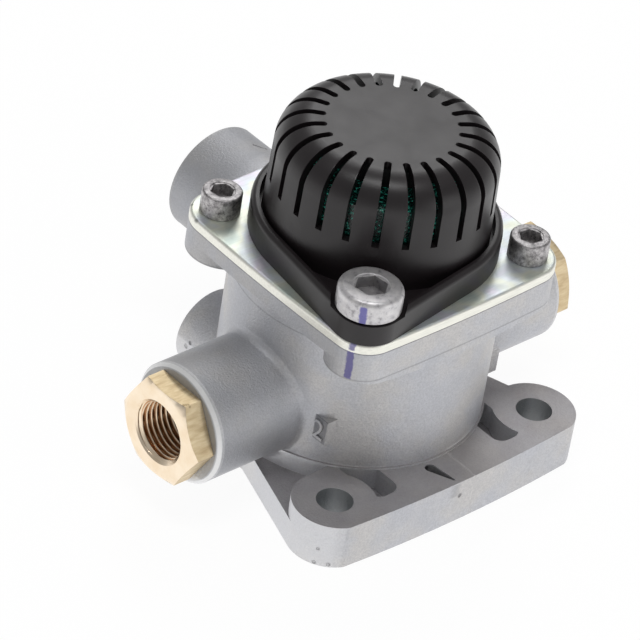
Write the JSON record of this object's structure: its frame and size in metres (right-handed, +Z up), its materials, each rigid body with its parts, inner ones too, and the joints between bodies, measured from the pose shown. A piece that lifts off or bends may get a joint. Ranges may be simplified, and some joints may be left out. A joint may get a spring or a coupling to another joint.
{
  "type": "air brake relay valve",
  "caption": "Air brake relay valve with cast housing, brass port adapters, zinc plated cover and slotted black silencer cap.",
  "frame": {"origin": "body axis at the lower face of the base", "axes": "+Z up along the body axis, +X along the side ports to the right, -Y towards the mounting lugs"},
  "size_m": [0.1256, 0.1001, 0.0902],
  "materials": {
    "cast_aluminium": "shot-blasted casting",
    "zinc_plated_plate": "bright zinc plating",
    "zinc_screw": "zinc plated",
    "dark_screw": "dark zinc plated, speckled",
    "black_plastic": "satin moulding",
    "brass": "turned",
    "rubber": "moulded",
    "spring_steel": "drawn wire",
    "turned_aluminium": "turned",
    "filter_mesh": "knitted filaments"
  },
  "bodies": {
    "housing": {"housing": "cast_aluminium", "cover_plate": "zinc_plated_plate", "cover_screws": "dark_screw", "cap_screws": "zinc_screw", "cap_bushes": "zinc_screw", "silencer_cap": "black_plastic", "silencer_filter": "filter_mesh", "filter_screen": "black_plastic", "port_adapter_left": "brass", "port_adapter_right": "brass", "adapter_seal_left": "rubber", "adapter_seal_right": "rubber", "seat_insert": "turned_aluminium", "seat_insert_seal": "rubber", "seat_retaining_ring": "spring_steel", "guide_insert": "turned_aluminium", "guide_insert_seal": "rubber", "sleeve_seal": "rubber", "valve_spring": "spring_steel"},
    "valve": {"valve_sleeve": "brass", "valve_rubber": "rubber"},
    "piston": {"relay_piston": "turned_aluminium", "piston_seal": "rubber"}
  },
  "joints": [
    {"name": "valve", "type": "slide", "parent": "housing", "child": "valve", "axis": [0, 0, 1], "range_m": [0, 0.0025], "stiffness_N_per_m": 2000, "springref_m": -0.006, "deforming": ["valve_spring"]},
    {"name": "piston", "type": "slide", "parent": "valve", "child": "piston", "axis": [0, 0, 1], "range_m": [0, 0.0015]}
  ]
}
